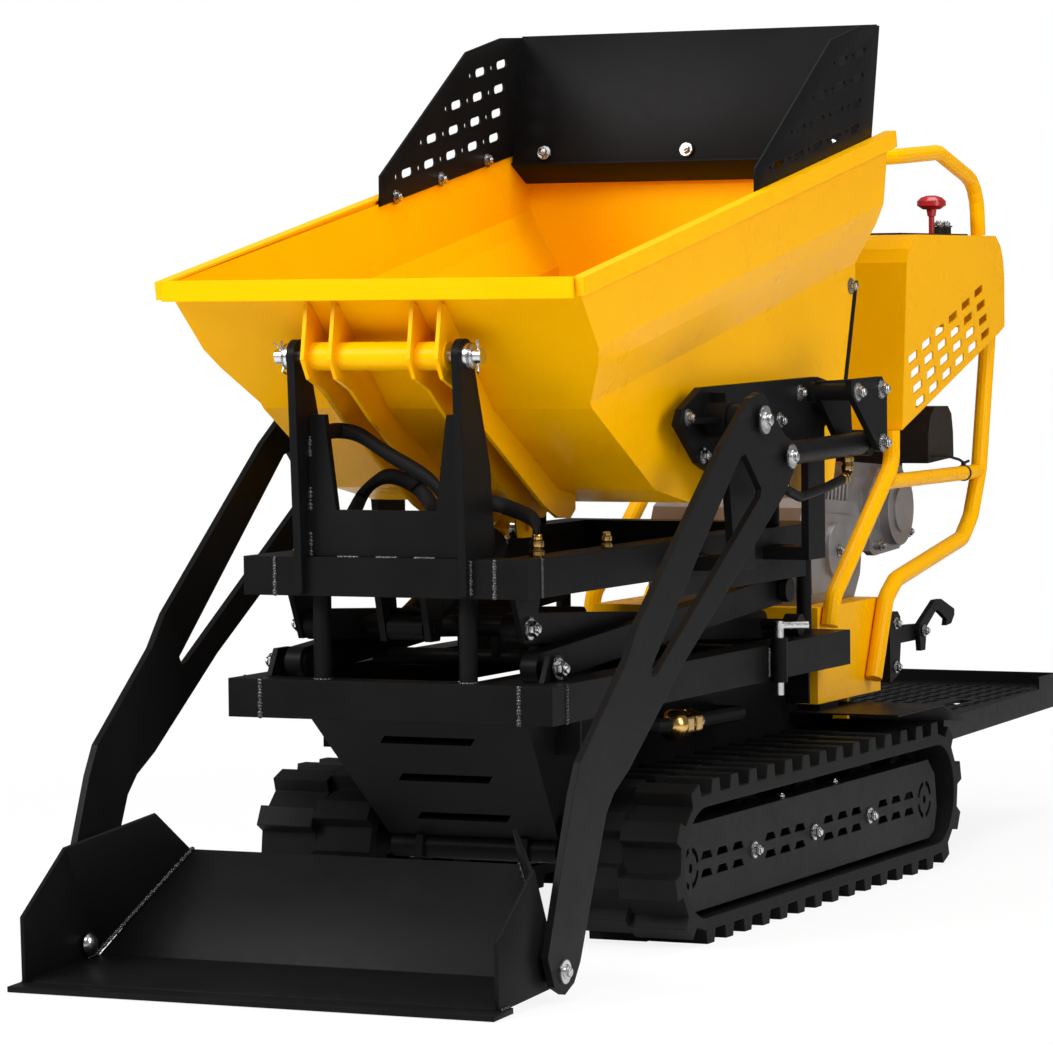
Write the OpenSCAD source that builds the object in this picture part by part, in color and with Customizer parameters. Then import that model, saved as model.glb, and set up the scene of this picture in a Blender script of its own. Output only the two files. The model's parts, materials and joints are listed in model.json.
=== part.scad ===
// Site dumper on rubber tracks, with a scissor-lifted front-tipping tub and a self-loading shovel.
// Millimetres. +Z up, the shovel end faces -Y, the machine's own left side is +X.
// Side-view lengths (the second figure of a point) count from the front face of the lower frame.

/* [Tracks] */
// Width of one rubber track
track_w = 180; // [160:5:200]
// Half of the width over both tracks
track_out = 337; // [325:1:345]
// Distance between the end wheels
wheel_base = 973; // [940:1:985]
// Side-view place of the front end wheel
wheel_front = 349; // [345:1:360]
// Belt radius around an end wheel, without lugs
belt_r = 98.5; // [90:0.5:100]
// Thickness of the belt
belt_t = 18; // [12:1:22]
// Height of a lug
lug_h = 20; // [12:1:24]
// Lugs around one track
lug_n = 36; // [30:1:40]

/* [Frames] */
// Half width of the lower frame
low_half = 253; // [245:1:258]
// Length of the lower frame
low_len = 1151; // [1140:1:1155]
// Top of the lower frame
low_top = 397; // [395:1:400]
// Half width of the upper frame
up_half = 221; // [216:1:224]
// Length of the upper frame
up_len = 1123; // [1110:1:1128]
// Height of a frame tube
tube_h = 55; // [45:1:58]
// Width of a frame tube
tube_w = 50; // [40:1:52]
// Wall of a frame tube
tube_t = 4; // [3:0.5:6]
// Clear height between the two frames
frame_gap = 120; // [116:1:124]

/* [Scissor] */
// Length of a scissor arm between its pins
arm_len = 900; // [860:5:905]
// Height of a scissor arm
arm_h = 44; // [36:1:48]
// Thickness of a scissor arm
arm_t = 25; // [18:1:26]
// Side-view place of both front pins
arm_y = 90; // [88:1:100]
// Height of the lower front pin over the lower frame
arm_low = 18; // [17:0.5:20]
// Drop of the upper front pin under the upper frame
arm_up = 47; // [44:0.5:50]

/* [Tub] */
// Sheet of the tub
tub_t = 4; // [3:0.5:6]
// Half width of the tub at its rim
tub_half = 318; // [314:1:322]
// Set-in of the tub's lower part from its rim, each side
tub_in = 58; // [50:1:66]
// Underside of the tub over the upper frame
tub_gap = 58; // [54:1:64]
// Slope of the rim, rising to the rear
rim_slope = 10.7; // [10:0.1:11]
// Half length of the yellow hinge tube
hinge_half = 110; // [100:1:112]
// Hinge pin radius
pin_r = 11; // [8:0.5:13]

/* [Loader] */
// Outer face of a loader arm
arm_x = 375; // [372:1:380]
// Plate of a loader arm
arm_pl = 10; // [8:1:12]
// Plate of the shovel
sh_t = 6; // [4:0.5:8]
// Half width of the shovel at its cutting edge
sh_half = 364; // [350:1:366]
// Radius of a loader cylinder's barrel
cyl_r = 18; // [15:0.5:19]
// Radius of a loader cylinder's rod
rod_r = 10; // [8:0.5:12]

/* [Rear] */
// Radius of a yellow frame tube
pipe_r = 14; // [12:0.5:15]
// Half width of the console
con_half = 227.5; // [227.5:0.5:232]
// Half width of the platform at its front
plat_half = 300; // [280:2:320]
// Taper of the platform to the rear, each side
plat_taper = 40; // [30:2:60]

/* [Hidden] */
// Side-view place of the part's middle
mid_y = 863;
// Gap between faces of different bodies
gap = 0.3;
// Wheel centre height and the rear wheel
wheel_z = belt_r + lug_h;
wheel_rear = wheel_front + wheel_base;
track_in = track_out - track_w;
low_z = low_top - tube_h;
up_z = low_top + frame_gap;
up_top = up_z + tube_h;
up_front = -9;
pin_low = low_top + arm_low;
pin_up = up_z - arm_up;
arm_rest = asin((pin_up - pin_low) / arm_len);
// Inner faces of the outer and of the inner scissor arms
arm_o = low_half - 80;
arm_i = arm_o - 5 - arm_t;
// Tipping hinge, loader pivot, rod pin, cylinder pin
hinge = [-15, 854];
lp = [472, 752];
le = [576, 695];
lr = [976, 702];
// Lift cylinder pins, tip cylinder pins
lift_a = [low_len - 251, 365];
lift_d = 350;
tip_k = [72, 470];
tip_t = [402, 597];
tub_z = up_top + tub_gap;
tub_low = tub_half - tub_in;
// How far the rear group moves with the lower frame's rear end
aft = low_len - 1151;
black = [0.09, 0.09, 0.095];
yellow = [0.98, 0.66, 0.02];
rubber = [0.05, 0.05, 0.05];
steel = [0.62, 0.63, 0.64];
grey = [0.38, 0.38, 0.39];
red = [0.75, 0.06, 0.05];
$fn = 48;

// Shared shapes
module seat() translate([0, -mid_y, 0]) children();
module rear() translate([0, aft - mid_y, 0]) children();
module mx() {
  children();
  mirror([1, 0, 0]) children();
}
// A side-view outline, given as [side length, height], with thickness from x0 to x1
module side(x0, x1) translate([x0, 0, 0]) rotate([90, 0, 90]) linear_extrude(x1 - x0) children();
module xrod(y, z, r, x0, x1) translate([x0, y, z]) rotate([0, 90, 0]) cylinder(r = r, h = x1 - x0);
module block(x0, x1, y0, y1, z0, z1) translate([x0, y0, z0]) cube([x1 - x0, y1 - y0, z1 - z0]);
// A bent tube along points p with bend radius b, as rings of n corners
function unit(v) = v / norm(v);
function bend(a, b, c, r) =
  let (u = unit(a - b), w = unit(c - b), h = acos(u * w) / 2, k = r / tan(h), m = unit(u + w) * r / sin(h), e = b + m)
  [for (i = [0:4]) let (p = b + (1 - i / 4) * k * u + i / 4 * k * w) e + r * unit(p - e)];
function route(p, r) = [p[0], for (i = [1:1:len(p) - 2]) each bend(p[i - 1], p[i], p[i + 1], r), p[len(p) - 1]];
module pipe(p, r, b = 40, n = 14) {
  q = route(p, b);
  m = len(q);
  d = [for (i = [0:m - 1]) unit(unit(q[min(i + 1, m - 1)] - q[max(i - 1, 0)]))];
  s = unit(cross(d[0], abs(d[0][2]) > 0.9 ? [1, 0, 0] : [0, 0, 1]));
  g = [for (i = 0, v = s; i < m; i = i + 1, v = i < m ? unit(v - (v * d[i]) * d[i]) : v) v];
  polyhedron(
    [for (i = [0:m - 1], j = [0:n - 1]) q[i] + r * (cos(360 * j / n) * g[i] + sin(360 * j / n) * cross(d[i], g[i]))],
    concat([[for (j = [0:n - 1]) n - 1 - j]], [[for (j = [0:n - 1]) (m - 1) * n + j]],
      [for (i = [0:m - 2], j = [0:n - 1]) [i * n + j, i * n + (j + 1) % n, (i + 1) * n + (j + 1) % n, (i + 1) * n + j]]));
}
// An outline moved inwards by t, corner by corner
function cut(a, b, c, d) =
  let (r = b - a, s = d - c, q = c - a, k = (q[0] * s[1] - q[1] * s[0]) / (r[0] * s[1] - r[1] * s[0])) a + k * r;
function nrm(a, b) = let (d = b - a) [-d[1], d[0]] / norm(d);
function inset(p, t) = [for (i = [0:len(p) - 1])
  let (a = p[(i + len(p) - 1) % len(p)], b = p[i], c = p[(i + 1) % len(p)], m = t * nrm(a, b), n = t * nrm(b, c))
  cut(a + m, b + m, b + n, c + n)];
// Rectangular tube along Y or X
module tube_y(x0, y0, y1, z0) difference() {
  block(x0, x0 + tube_w, y0, y1, z0, z0 + tube_h);
  block(x0 + tube_t, x0 + tube_w - tube_t, y0 - 1, y1 + 1, z0 + tube_t, z0 + tube_h - tube_t);
}
module tube_ring(half, y0, y1, z0) difference() {
  block(-half, half, y0, y1, z0, z0 + tube_h);
  block(-half + tube_w, half - tube_w, y0 + tube_w, y1 - tube_w, z0 - 1, z0 + tube_h + 1);
  mx() block(half - tube_w + tube_t, half - tube_t, y0 + tube_t, y1 + 1, z0 + tube_t, z0 + tube_h - tube_t);
}

// Tracks
function loop_pt(s, off) =
  let (q = PI * belt_r, d = wheel_base, w = s - floor(s / (2 * d + 2 * q)) * (2 * d + 2 * q), r = belt_r + off)
  w < d ? [wheel_front + w, wheel_z - r] :
  w < d + q ? let (f = (w - d) / q * 180) [wheel_rear + r * sin(f), wheel_z - r * cos(f)] :
  w < 2 * d + q ? [wheel_rear - (w - d - q), wheel_z + r] :
  let (f = (w - 2 * d - q) / q * 180) [wheel_front - r * sin(f), wheel_z + r * cos(f)];
module loop_line(ph) {
  n = 2 * wheel_base + 2 * PI * belt_r;
  p = n / lug_n;
  polygon([for (i = [0:lug_n - 1]) each [
    loop_pt(i * p + ph - 17, 0), loop_pt(i * p + ph - 13, lug_h),
    loop_pt(i * p + ph + 13, lug_h), loop_pt(i * p + ph + 17, 0)]]);
}
module belt_hole() {
  r = belt_r - belt_t;
  translate([wheel_front, wheel_z - r]) square([wheel_base, 2 * r]);
  for (y = [wheel_front, wheel_rear]) translate([y, wheel_z]) circle(r);
}
module track_side() color(rubber) seat() {
  for (k = [0, 1]) side(track_in + k * track_w / 2, track_in + (k + 1) * track_w / 2) difference() {
    loop_line(k * 12);
    belt_hole();
  }
}
module track_left() track_side();
module track_right() mirror([1, 0, 0]) track_side();
module rollers_side() color(black) seat() {
  c = track_in + track_w / 2;
  r = belt_r - belt_t - gap;
  for (y = [wheel_front, wheel_rear]) difference() {
    xrod(y, wheel_z, r, c - 30, c + 30);
    xrod(y, wheel_z, r - 16, c + 12, c + 31);
    xrod(y, wheel_z, 15 + gap, c - 31, c + 31);
  }
  for (i = [0:4]) xrod(wheel_front + wheel_base * (0.16 + 0.17 * i), wheel_z - r - gap + 30 + gap, 30, c - 38, c + 38);
  xrod(wheel_front + wheel_base / 2, wheel_z + r - 22, 22, c - 25, c + 25);
}
module rollers_left() rollers_side();
module rollers_right() mirror([1, 0, 0]) rollers_side();
module track_frame_side() color(black) seat() {
  c = track_in + track_w / 2;
  z = wheel_z - belt_r + belt_t + 60 + 2 * gap;
  r = belt_r - belt_t;
  difference() {
    block(c - 15, c + 15, wheel_front + r + 4, wheel_rear - r - 4, z, z + 52);
    xrod(wheel_front + wheel_base / 2, wheel_z + r - 22, 23, c - 26, c + 26);
  }
  for (y = [wheel_front, wheel_rear]) {
    xrod(y, wheel_z, 15, c - 42, c + 42);
    s = y == wheel_front ? 1 : -1;
    for (x = [c - 42, c + 34]) block(x, x + 8, min(y - s * 22, y + s * 120), max(y - s * 22, y + s * 120), wheel_z - 17, wheel_z + 22);
    block(c - 34, c + 34, min(y + s * 88, y + s * 118), max(y + s * 88, y + s * 118), wheel_z - 15, wheel_z + 20);
  }
}
module track_frame_left() track_frame_side();
module track_frame_right() mirror([1, 0, 0]) track_frame_side();
module guard_side() color(black) seat() {
  c = track_in + track_w / 2;
  x = track_out - 15;
  y0 = wheel_front;
  y1 = wheel_rear;
  side(x, x + 4) difference() {
    polygon([[y0 - 76, 118], [y0 - 68, 149], [y0 - 44, 172], [y1 - 10, 172], [y1 + 18, 150],
      [y1 + 28, 95], [y1 + 15, 58], [y1 - 10, 48], [y0 - 20, 48], [y0 - 62, 78]]);
    for (y = [y0 - 36, y1 - 31]) translate([y, 113]) {
      circle(7);
      for (a = [0:3]) rotate(45 + 90 * a) difference() {
        polygon([for (t = [-33:11:33]) 31 * [cos(t), sin(t)], for (t = [33:-11:-33]) 23 * [cos(t), sin(t)]]);
      }
    }
    for (g = [0:3], k = [0:2], s = [0, 1]) {
      y = y0 + [2, 250, 490, 728][g] + 60 * k;
      translate([y, 95 + 26 * s]) polygon([[0, 0], [44, 0], [36, 11], [8, 11]]);
    }
  }
  side(x - 30, x + 4) polygon([[y0 - 44, 172], [y1 - 10, 172], [y1 - 12, 176], [y0 - 42, 176]]);
  for (y = [y0 + 209, y0 + 446, y0 + 684]) xrod(y, 116, 9, c + 15, x);
}
module track_guard_left() guard_side();
module track_guard_right() mirror([1, 0, 0]) guard_side();

// Chassis between the tracks
module chassis_body(t) intersection() {
  side(-200, 200) polygon(inset([[275, 150], [1300 + aft, 150], [1330 + aft, 200], [1330 + aft, 275], [1150 + aft, 275],
    [1150 + aft, low_z], [88, low_z]], t));
  rotate([90, 0, 0]) translate([0, 0, -1500]) linear_extrude(1500)
    polygon(inset([[-136, 150], [136, 150], [173, low_z], [-173, low_z]], t));
}
module chassis() color(black) seat() {
  difference() {
    chassis_body(0);
    chassis_body(6);
    block(-44, 44, lift_a[0] - 480, lift_a[0] + 60, low_z - 30, low_z + 1);
    for (c = [[124, 302], [184, 245], [252, 190]]) translate([0, c[0], c[1]]) rotate([134.2, 0, 0]) linear_extrude(60, center = true)
      polygon([[-78, -8], [66, -8], [78, 8], [-66, 8]]);
  }
  xrod(288, 133, 18, -133, 133);
  for (x = [-90, 78]) side(x, x + 12) polygon([[262, 120], [300, 112], [310, 151], [268, 151]]);
  for (y = [wheel_front + 95, wheel_rear - 120]) xrod(y, 134, 20, -track_in - track_w / 2 + 42, track_in + track_w / 2 - 42);
  mx() block(166, 205, 200, 206, low_z - 60, low_z);
  mx() block(166, 205, 1090 + aft, 1096 + aft, low_z - 60, low_z);
}
module side_hoses() color(rubber) seat() mx()
  pipe([[167.7, 470, 300], [212, 470, 300], [216, 540, 298], [216, 756, 294], [206, 800, 292], [166.4, 800, 292]], 12, 26, 10);
module lower_frame() color(black) seat() tube_ring(low_half, 0, low_len, low_z);
module lift_mount() color(black) seat() {
  block(-40, 40, lift_a[0] + 34, lift_a[0] + 50, low_z, low_z + 40);
  xrod(lift_a[0], lift_a[1], 10 - gap, -34, 34);
  for (x = [-32, 24]) side(x, x + 8) polygon([[lift_a[0] - 24, low_z + 2], [lift_a[0] + 34, low_z], [lift_a[0] + 34, low_z + 40], [lift_a[0] - 10, low_z + 44], [lift_a[0] - 24, low_z + 36]]);
  block(-low_half + tube_w, low_half - tube_w, lift_a[0] + 50, lift_a[0] + 90, low_z, low_z + 40);
}
module frame_lugs() color(black) seat() mx() {
  translate([114, 25, low_top]) cylinder(r = 13, h = frame_gap - gap);
  translate([low_half - 44, low_len - 89, low_top]) cylinder(r = 12, h = frame_gap - gap);
  side(low_half - 43, low_half - 35) difference() {
    polygon([[50, low_top], [130, low_top], [112, pin_low + 20], [72, pin_low + 20]]);
    translate([arm_y, pin_low]) circle(9 + gap);
  }
  block(low_half, low_half + 4, 804, 820, low_z + 2, low_top - 2);
  difference() {
    translate([low_half + 13, 812, low_z - 2]) cylinder(r = 13, h = 68);
    translate([low_half + 13, 812, low_z - 3]) cylinder(r = 7.3, h = 72);
    block(low_half - 5, low_half, 790, 830, low_z - 5, low_z + 70);
  }
}
module lock_pins() color(steel) seat() mx() translate([low_half + 13, 812, 0]) {
  translate([0, 0, low_z - 22]) cylinder(r = 7, h = 114);
  translate([0, 0, low_z + 85]) rotate([0, 90, 35]) cylinder(r = 6, h = 46);
}

// Rear box, tubes, console and engine
module rear_box() color(yellow) rear() difference() {
  union() {
    block(-196, 196, 1154, 1440, 275, 430);
    block(-140, 140, 1430, 1440, 190, 275);
    mx() side(100, 108) polygon([[1440, 200], [1448, 204], [1454.5, 208], [1454.5, 214], [1448, 218], [1440, 222]]);
    mx() xrod(1450, 212, 5, 60, 104);
  }
  block(-190, 190, 1160, 1434, 274, 424);
}
module mudguards() color(black) rear() mx() {
  side(track_in + 4, track_out + 8) polygon([[1120, 262], [1120, 265], [1330, 265], [1432, 232], [1430, 229], [1329, 262]]);
  block(track_in + 4, track_in + 40, 1160, 1240, 265, 275);
  block(175, 197, 1170, 1230, 265, 275);
}
pipe_x = 196 + pipe_r;
pipe_a = [[pipe_x, 1171, 400], [pipe_x, 1185, 444], [pipe_x, 1460, 648], [pipe_x, 1461, 705.7]];
pipe_b = [[pipe_x, 1370, 300], [pipe_x, 1428, 429], [pipe_x, 1476, 457], [pipe_x, 1804, 509], [pipe_x, 1851, 545],
  [pipe_x, 1895, 624], [pipe_x, 1955, 900]];
module rear_frame() color(yellow) rear() mx() {
  pipe(pipe_a, pipe_r);
  pipe(pipe_b, pipe_r);
}
module rear_bars() color(yellow) rear() mx() difference() {
  translate([pipe_x, 1427, 621]) rotate([-90, 0, 0]) cylinder(r = pipe_r - 1.5, h = 464);
  translate([pipe_x, 1185, 444]) rotate([atan2(204, 275) - 90, 0, 0]) cylinder(r = pipe_r + gap, h = 420);
  for (a = [atan2(79, 44), atan2(276, 60)])
    translate([pipe_x, 1895, 624]) rotate([a - 90, 0, 0]) translate([0, 0, -60]) cylinder(r = pipe_r + gap + 0.3, h = 120);
}
module console_cover() color(yellow) rear() {
  top = [[1985, 955], [1980, 986], [1966, 1012], [1940, 1030], [1550, 1030], [1524, 1022], [1504, 1006], [1492, 983]];
  difference() {
    side(-con_half, con_half) polygon(concat([[1465, 706], [1951, 859], [1985, 872]], top));
    side(-con_half + 3, con_half - 3) polygon(inset(concat([[1454.6, 600], [1985, 600]], top), 3));
    for (i = [0:5], k = [0:3]) side(-con_half - 1, con_half + 1) translate([1520 + 66 * i + 11.3 * k, 826 + 21.6 * i - 24.7 * k])
      polygon([[-22, -11], [-18, -12], [21, -1], [21, 8], [18, 12], [-22, 1]]);
  }
}
module control_panel() color(black) rear() {
  block(-con_half + 50, con_half - 50, 1600, 1936, 1030, 1034);
  for (x = [-110, -40, 30]) {
    translate([x, 1790, 1034]) cylinder(r = 6, h = 52);
    translate([x, 1790, 1086]) sphere(r = 14);
  }
  for (y = [1862, 1900]) translate([150, y, 1034]) cylinder(r = 9, h = 12);
}
module red_knob() color(red) rear() translate([150, 1827, 1034]) {
  cylinder(r = 5, h = 30);
  translate([0, 0, 30]) cylinder(r1 = 7, r2 = 9, h = 12);
  translate([0, 0, 42]) cylinder(r1 = 15, r2 = 24, h = 6);
  translate([0, 0, 48]) cylinder(r = 25, h = 9);
  translate([0, 0, 57]) cylinder(r1 = 24, r2 = 18, h = 6);
  translate([0, 0, 63]) cylinder(r1 = 17, r2 = 8, h = 3);
}
module handle_bar() color(yellow) rear() {
  r = 13;
  pipe([[-200, 1926, 1031.6], [-200, 1917, 1121], [-200, 1723, 1171], [-200, 1464, 1157], [200, 1464, 1157],
    [200, 1723, 1171], [200, 1917, 1121], [200, 1926, 1031.6]], r, 70);
}
module engine_shroud() color(grey) rear() {
  side(-112, 150) polygon([[1184, 430], [1440, 430], [1468, 466], [1480, 520], [1474, 560], [1450, 588], [1240, 602],
    [1208, 588], [1192, 556]]);
  side(150, 158) polygon([[1230, 446], [1400, 446], [1438, 480], [1446, 530], [1420, 566], [1260, 578], [1224, 550]]);
  xrod(1330, 512, 46, 157, 166);
  for (i = [0:10]) translate([0, 1250 + 17 * i, 586]) rotate([-14, 0, 0]) block(-104, 144, 0, 5, 0, 40);
}
module engine_block() color(grey) rear() {
  side(-92, 120) polygon([[1480.3, 492], [1700, 505], [1735, 530], [1735, 636], [1500, 652], [1480.3, 640]]);
  side(120, 134) polygon([[1560, 498], [1580, 490], [1700, 496], [1738, 520], [1742, 560], [1738, 612], [1712, 638], [1600, 638], [1556, 600]]);
  xrod(1662, 566, 62, 134, 152);
  xrod(1662, 566, 40, 152, 157);
  for (c = [[1580, 508], [1716, 524], [1720, 608], [1592, 618]]) xrod(c[0], c[1], 8, 134, 146);
}
module air_filter() color(black) rear() {
  side(-50, 100) polygon([[1735.3, 560], [1790, 574], [1810, 600], [1810, 641], [1735.3, 641]]);
  side(-60, 172) polygon([[1742, 640], [1872, 646], [1870, 690], [1862, 722], [1844, 736], [1776, 736], [1756, 722], [1744, 690]]);
  xrod(1772, 600, 16, 99, 124);
}
module latch_plate() color(black) rear() {
  block(150, 213, 1440, 1446, 288, 404);
  side(205, 213) polygon([[1446, 288], [1484, 300], [1492, 350], [1570, 350], [1590, 355], [1595, 366], [1588, 376], [1492, 380], [1490, 394], [1478, 404], [1446, 404]]);
  xrod(1576, 365, 4.7, 213, 224);
}
module latch_hook() color(black) rear() side(213.3, 222) difference() {
  polygon([[1564, 332], [1586, 332], [1590, 352], [1592, 370], [1642, 396], [1656, 393], [1694, 377], [1690, 366], [1716, 368],
    [1732, 382], [1732, 392], [1666, 413], [1636, 413], [1560, 378], [1556, 366], [1560, 352]]);
  translate([1576, 365]) circle(5);
}
module platform() color(black) rear() {
  p = [[-plat_half, 1458], [plat_half, 1458], [plat_half - plat_taper, 2160], [-plat_half + plat_taper, 2160]];
  difference() {
    translate([0, 0, 190]) linear_extrude(60) polygon(p);
    translate([0, 0, 189]) linear_extrude(36) polygon(inset(p, 4));
    translate([0, 0, 229]) linear_extrude(40) polygon(inset(p, 4));
    translate([-400, 1400, 229]) cube([800, 650, 40]);
    block(206, 230, 1718, 1806, 220, 235);
  }
  mx() difference() {
    union() {
      xrod(1450, 212, 9, 62, 97);
      block(62, 97, 1450, 1459, 206, 218);
    }
    xrod(1450, 212, 5 + gap, 61, 98);
  }
}

// Scissor arms: the outer pair starts on the lower frame, the inner pair under the upper frame
module scissor_arm(x0, x1, y, z, a) translate([0, y, z]) rotate([a, 0, 0]) difference() {
  union() {
    block(x0, x1, 0, arm_len, -arm_h / 2, arm_h / 2);
    for (v = [0, arm_len]) xrod(v, 0, arm_h / 2, x0, x1);
  }
  xrod(0, 0, 9, x0 - 1, x1 + 1);
}
module scissor_outer() color(black) seat() {
  mx() {
    scissor_arm(arm_o, arm_o + arm_t, arm_y, pin_low, arm_rest);
    translate([0, arm_y, pin_low]) rotate([arm_rest, 0, 0]) {
      xrod(0, 0, 9, arm_o - 4, low_half - 32);
      xrod(0, 0, 15, arm_o - 4, arm_o);
      xrod(arm_len / 2, 0, 12, arm_i - 4, arm_o + 1);
      xrod(arm_len, 0, 10, arm_o + arm_t, up_half - 6);
      xrod(arm_len, 0, 19, up_half - 18, up_half - 6);
    }
  }
  translate([0, arm_y, pin_low]) rotate([arm_rest, 0, 0]) {
    xrod(220, -20, 13, -arm_o, arm_o);
    for (x = [-32, 22]) side(x, x + 10) difference() {
      polygon([[205, -14], [lift_d, -16], [lift_d + 16, -8], [lift_d + 16, 8], [lift_d, 16], [205, 14]]);
      translate([lift_d, 0]) circle(8);
    }
  }
}
module scissor_inner() color(black) seat() {
  w = arm_i;
  mx() {
    difference() {
      scissor_arm(w, w + arm_t, arm_y, pin_up, -arm_rest);
      translate([0, arm_y, pin_up]) rotate([-arm_rest, 0, 0]) xrod(arm_len / 2, 0, 12 + gap, w - 1, w + arm_t + 1);
    }
    translate([0, arm_y, pin_up]) rotate([-arm_rest, 0, 0]) {
      xrod(0, 0, 9, w - 8, w + arm_t + 10);
      xrod(arm_len, 0, 9, w - 8, w + arm_t);
    }
  }
  translate([0, arm_y, pin_up]) rotate([-arm_rest, 0, 0]) xrod(130, 0, 15, -w, w);
}

module scissor_rollers() color(black) seat() mx() {
  y = arm_y + arm_len * cos(arm_rest);
  xrod(y, pin_low, 9, arm_i + arm_t + 0.2, low_half - 22);
  xrod(y, pin_low, arm_low - gap, low_half - 45, low_half - 20);
}

// Upper frame and what stands on it
module upper_frame() color(black) seat() tube_ring(up_half, up_front, up_front + up_len, up_z);
module up_lugs() color(black) seat() {
  mx() {
    side(arm_i + arm_t + 2, arm_i + arm_t + 10) difference() {
      polygon([[41, up_z], [74, pin_up - 20], [106, pin_up - 20], [130, up_z]]);
      translate([arm_y, pin_up]) circle(9 + gap);
    }
    block(up_half - 18, up_half, 480, up_front + up_len - 74, pin_up + 19 + gap, pin_up + 19 + gap + 6);
    block(up_half - 5, up_half, 480, up_front + up_len - 74, pin_up + 19 + gap, up_z);
    translate([up_half - 21, 950, up_top]) cylinder(r = 12, h = tub_gap - gap);
  }
  for (x = [-40, 30]) side(x, x + 10) difference() {
    polygon([[41, up_z + 44], [60, up_z + 44], [90, up_z], [96, tip_k[1] + 6], [88, tip_k[1] - 20], [60, tip_k[1] - 20], [41, up_z]]);
    translate(tip_k) circle(10.3);
  }
}
module up_hoses() color(rubber) seat() {
  pipe([[-104, 13.4, 742], [-104, 64, 742], [-80, 66, 742], [-30, 64, 704], [40, 64, 688], [74, 50, 640], [74, 22, 600], [74, 22, up_top + 0.2]], 9, 16, 10);
  pipe([[104, 13.4, 738], [104, 74, 738], [56, 84, 728], [46, 88, 686], [90, 88, 650], [165, 88, 632], [200, 88, 618],
    [200, 88, up_top + 0.2]], 9, 16, 10);
  pipe([[-86, 13.4, 616], [-86, 70, 616], [-78, 92, 662], [-46, 94, 682], [6, 94, 664], [40, 84, 632], [46, 26, 606], [46, 26, up_top + 0.2]], 9, 14, 10);
}
module tip_bracket() color(black) seat() {
  translate([0, up_front + 22, up_top]) rotate([90, 0, 0]) linear_extrude(12)
    polygon([[-122, 0], [122, 0], [122, 60], [118, 200], [95, 200], [78, 66], [-78, 66], [-95, 200], [-118, 200], [-122, 60]]);
  mx() side(122, 134) difference() {
    union() {
      polygon([[hinge[0] - 22, hinge[1]], [hinge[0] + 22, hinge[1]], [60, 700], [75, up_top], [up_front + 2, up_top],
        [up_front, up_top], [up_front, up_z + 4], [up_front - 12, up_z + 4], [up_front - 14, up_top + 20]]);
      translate(hinge) circle(24);
    }
    translate(hinge) circle(pin_r);
  }
}
module tip_pin() color(steel) seat() mx() {
  xrod(hinge[0], hinge[1], pin_r, 40, 160);
  xrod(hinge[0], hinge[1], 18, 134.2, 142);
}
module bracket_side() color(black) seat() {
  difference() {
    union() {
      side(285, 297) polygon([[352, 748], [368, 770], [440, 800], [900, 806], [940, 800], [960, 780], [960, 735], [900, 722],
        [700, 690], [640, 640], [640, 545], [560, 545], [540, 660], [460, 680], [430, 690]]);
      block(up_half, 297, 560, 640, 525, 545);
      side(285, 297) polygon([[860, 730], [860, 545], [930, 545], [930, 740]]);
      block(up_half, 297, 860, 930, 525, 545);
      xrod(lp[0], lp[1], 27, 297, 330);
      xrod(lp[0], lp[1], 22, 330, arm_x - arm_pl - gap);
      side(arm_x - 10, arm_x) polygon([[842, 803], [975, 805], [998, 790], [998, 708], [985, 688], [965, 690], [845, 780]]);
      xrod(868, 783, 13, 297, arm_x - 10);
      xrod(972, 785, 11, 330, arm_x - 10);
      xrod(lr[0], lr[1], 9, 318, arm_x - 10);
      side(308, 318) polygon([[862, 800], [985, 800], [998, 700], [985, 690], [955, 692], [862, 770]]);
      xrod(868, 783, 16, 297, 308);
      for (g = [[[297, 497], [327, 496], [297, 556]], [[297, 448], [297, 392], [327, 449]]])
        translate([0, 0, lp[1] - 4]) linear_extrude(8) polygon(g);
      side(297, 322) polygon([[lp[0] - 4, lp[1] + 24], [lp[0] + 4, lp[1] + 24], [lp[0] + 4, lp[1] + 40], [lp[0] - 4, lp[1] + 40]]);
    }
  }
}
module loader_bracket_left() bracket_side();
module loader_bracket_right() mirror([1, 0, 0]) bracket_side();

// Tub
tub_out = [[-53, 957], [130, 777], [350, tub_z + 24], [480, tub_z], [1060, tub_z], [1165, 960], [1165, 1176]];
tub_tall = [[-114, 1017], [130, 777], [350, tub_z + 24], [480, tub_z], [1060, tub_z], [1165, 960], [1165, 1300]];
tub_sec = [[tub_low, -700], [tub_low, -202], [tub_half - 22, -141], [tub_half - 9, -110], [tub_half, 0], [-tub_half, 0],
  [9 - tub_half, -110], [22 - tub_half, -141], [-tub_low, -202], [-tub_low, -700]];
tub_sec_tall = [[tub_low, -700], [tub_low, -202], [tub_half - 22, -141], [tub_half - 9, -110], [tub_half + 4.9, 60],
  [-tub_half - 4.9, 60], [9 - tub_half, -110], [22 - tub_half, -141], [-tub_low, -202], [-tub_low, -700]];
module tilt() translate([0, -53, 957]) rotate([rim_slope, 0, 0]) children();
module along(p, s0, s1) tilt() translate([0, s0, 0]) rotate([-90, 0, 0]) mirror([0, 1, 0]) linear_extrude(s1 - s0) polygon(p);
module tub_shell() color(yellow) seat() difference() {
  intersection() {
    side(-400, 400) polygon(tub_out);
    along(tub_sec, -100, 1500);
  }
  intersection() {
    side(-400, 400) polygon(inset(tub_tall, tub_t));
    along(inset(tub_sec_tall, tub_t), -100, 1500);
  }
}
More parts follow.
